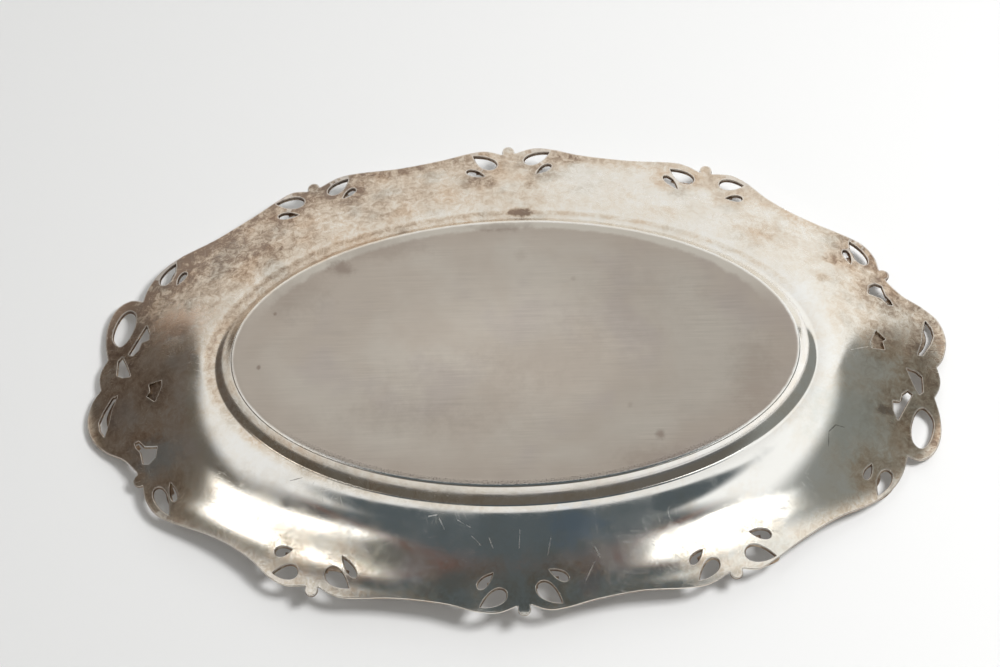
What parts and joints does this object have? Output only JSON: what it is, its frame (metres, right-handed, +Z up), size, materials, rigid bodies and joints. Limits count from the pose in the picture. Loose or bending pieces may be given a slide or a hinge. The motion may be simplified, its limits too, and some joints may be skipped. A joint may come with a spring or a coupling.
{
  "type": "dresser vanity tray",
  "caption": "Oval pierced metal dresser tray with a flat base, steep wall, wide scalloped flange and raised loop-handled ends.",
  "frame": {"origin": "centre of the underside of the flat base", "axes": "+X along the tray towards one loop handle, +Z up out of the base to the open side"},
  "size_m": [0.3644, 0.2206, 0.0311],
  "materials": {
    "plate_silver": "worn, tarnished silver plate, brushed on the underside",
    "mount_silver": "struck silver-plated mounts with brown tarnish in the hollows"
  },
  "bodies": {
    "root": {"tray_body": "plate_silver", "end_mount_left": "mount_silver", "end_mount_right": "mount_silver", "bud_mount_1": "mount_silver", "bud_mount_2": "mount_silver", "bud_mount_3": "mount_silver", "bud_mount_4": "mount_silver", "bud_mount_5": "mount_silver", "bud_mount_6": "mount_silver", "bud_mount_7": "mount_silver", "bud_mount_8": "mount_silver", "leaf_mount_left": "mount_silver", "leaf_mount_right": "mount_silver", "edge_strip_1": "mount_silver", "edge_strip_2": "mount_silver", "edge_strip_3": "mount_silver", "edge_strip_4": "mount_silver", "edge_strip_5": "mount_silver", "edge_strip_6": "mount_silver", "edge_strip_7": "mount_silver", "edge_strip_8": "mount_silver"}
  },
  "joints": []
}
